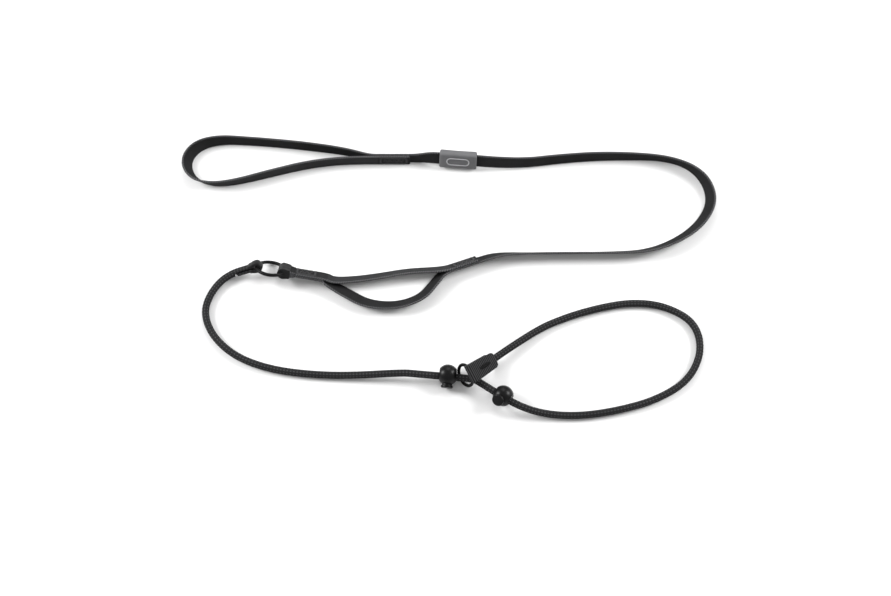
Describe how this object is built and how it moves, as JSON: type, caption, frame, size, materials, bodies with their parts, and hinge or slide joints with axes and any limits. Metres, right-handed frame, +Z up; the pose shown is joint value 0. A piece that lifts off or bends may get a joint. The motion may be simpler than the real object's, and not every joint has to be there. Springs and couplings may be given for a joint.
{
  "type": "slip lead for a dog",
  "caption": "Webbing dog lead with an end hand loop, rubber keeper, lower traffic handle and ring, ending in a rope neck loop with sliding stoppers and a slip ring.",
  "frame": {"origin": "middle of the laid-out webbing's outline, on the surface it lies on", "axes": "+X along the lead from the end hand loop toward the leash's bend, +Y from the rope toward the upper webbing, +Z up from the surface"},
  "size_m": [0.6006, 0.3362, 0.0313],
  "materials": {
    "hand_loop_webbing": "woven polyester",
    "leash_webbing": "woven polyester",
    "slack_loop_webbing": "woven polyester",
    "main_band_webbing": "woven polyester",
    "ring_fold_webbing": "woven polyester",
    "ring_fold_sleeve": "smooth sleeve",
    "hand_loop_stitching": "bonded thread",
    "lower_joint_stitching": "bonded thread",
    "ring_end_stitching": "bonded thread",
    "rubber_keeper": "matt moulded",
    "keeper_rim": "matt moulded",
    "lead_ring": "satin black",
    "slip_ring": "satin black",
    "rope": "braided sheath",
    "rope_eye": "stitched rope",
    "rope_eye_guard": "smooth sleeve",
    "rope_tab": "ribbed webbing",
    "rope_tab_tack": "satin stitch",
    "stopper_1_ball": "moulded",
    "stopper_2_ball": "moulded",
    "stopper_1_button": "moulded",
    "stopper_2_button": "moulded",
    "stopper_1_spring": "wire",
    "stopper_2_spring": "wire"
  },
  "bodies": {
    "root": {"hand_loop_webbing": "hand_loop_webbing", "leash_webbing": "leash_webbing", "slack_loop_webbing": "slack_loop_webbing", "main_band_webbing": "main_band_webbing", "ring_fold_webbing": "ring_fold_webbing", "ring_fold_sleeve": "ring_fold_sleeve", "hand_loop_stitching": "hand_loop_stitching", "lower_joint_stitching": "lower_joint_stitching", "ring_end_stitching": "ring_end_stitching"},
    "keeper": {"rubber_keeper": "rubber_keeper", "keeper_rim": "keeper_rim"},
    "lead_ring": {"lead_ring": "lead_ring"},
    "rope_line": {"rope": "rope", "rope_eye": "rope_eye", "rope_eye_guard": "rope_eye_guard", "rope_tab": "rope_tab", "rope_tab_tack": "rope_tab_tack"},
    "slip_ring": {"slip_ring": "slip_ring"},
    "stopper_1": {"stopper_1_ball": "stopper_1_ball", "stopper_1_spring": "stopper_1_spring"},
    "button_1": {"stopper_1_button": "stopper_1_button"},
    "stopper_2": {"stopper_2_ball": "stopper_2_ball", "stopper_2_spring": "stopper_2_spring"},
    "button_2": {"stopper_2_button": "stopper_2_button"}
  },
  "joints": [
    {"name": "keeper_slide", "type": "slide", "parent": "root", "child": "keeper", "axis": [0.9967, -0.0814, 0], "range_m": [-0.002, 0.014]},
    {"name": "ring_swing", "type": "hinge", "parent": "root", "child": "lead_ring", "pos_m": [-0.18084, -0.06019, 0.0119], "axis": [-0.0565, -0.7647, 0.6419], "range_deg": [-15, 0]},
    {"name": "rope_swing", "type": "hinge", "parent": "lead_ring", "child": "rope_line", "pos_m": [-0.21035, -0.056, 0.0143], "axis": [0.0565, 0.7647, -0.6419], "range_deg": [-15, 0]},
    {"name": "slip_ring_turn", "type": "hinge", "parent": "rope_line", "child": "slip_ring", "pos_m": [0.01916, -0.18359, 0.0134], "axis": [-0.7738, -0.4936, 0.397], "range_deg": [-90, 90]},
    {"name": "stopper_1_slide", "type": "slide", "parent": "rope_line", "child": "stopper_1", "axis": [0.9957, -0.0931, 0], "range_m": [-0.033, 0]},
    {"name": "button_1_press", "type": "slide", "parent": "stopper_1", "child": "button_1", "axis": [0.0896, 0.9582, 0.2718], "range_m": [0, 0.0015], "stiffness_N_per_m": 1200, "springref_m": -0.001},
    {"name": "stopper_2_slide", "type": "slide", "parent": "rope_line", "child": "stopper_2", "axis": [0.8226, -0.5667, 0.0457], "range_m": [-0.012, 0]},
    {"name": "button_2_press", "type": "slide", "parent": "stopper_2", "child": "button_2", "axis": [0.4629, 0.6209, -0.6326], "range_m": [0, 0.0015], "stiffness_N_per_m": 1200, "springref_m": -0.001}
  ]
}
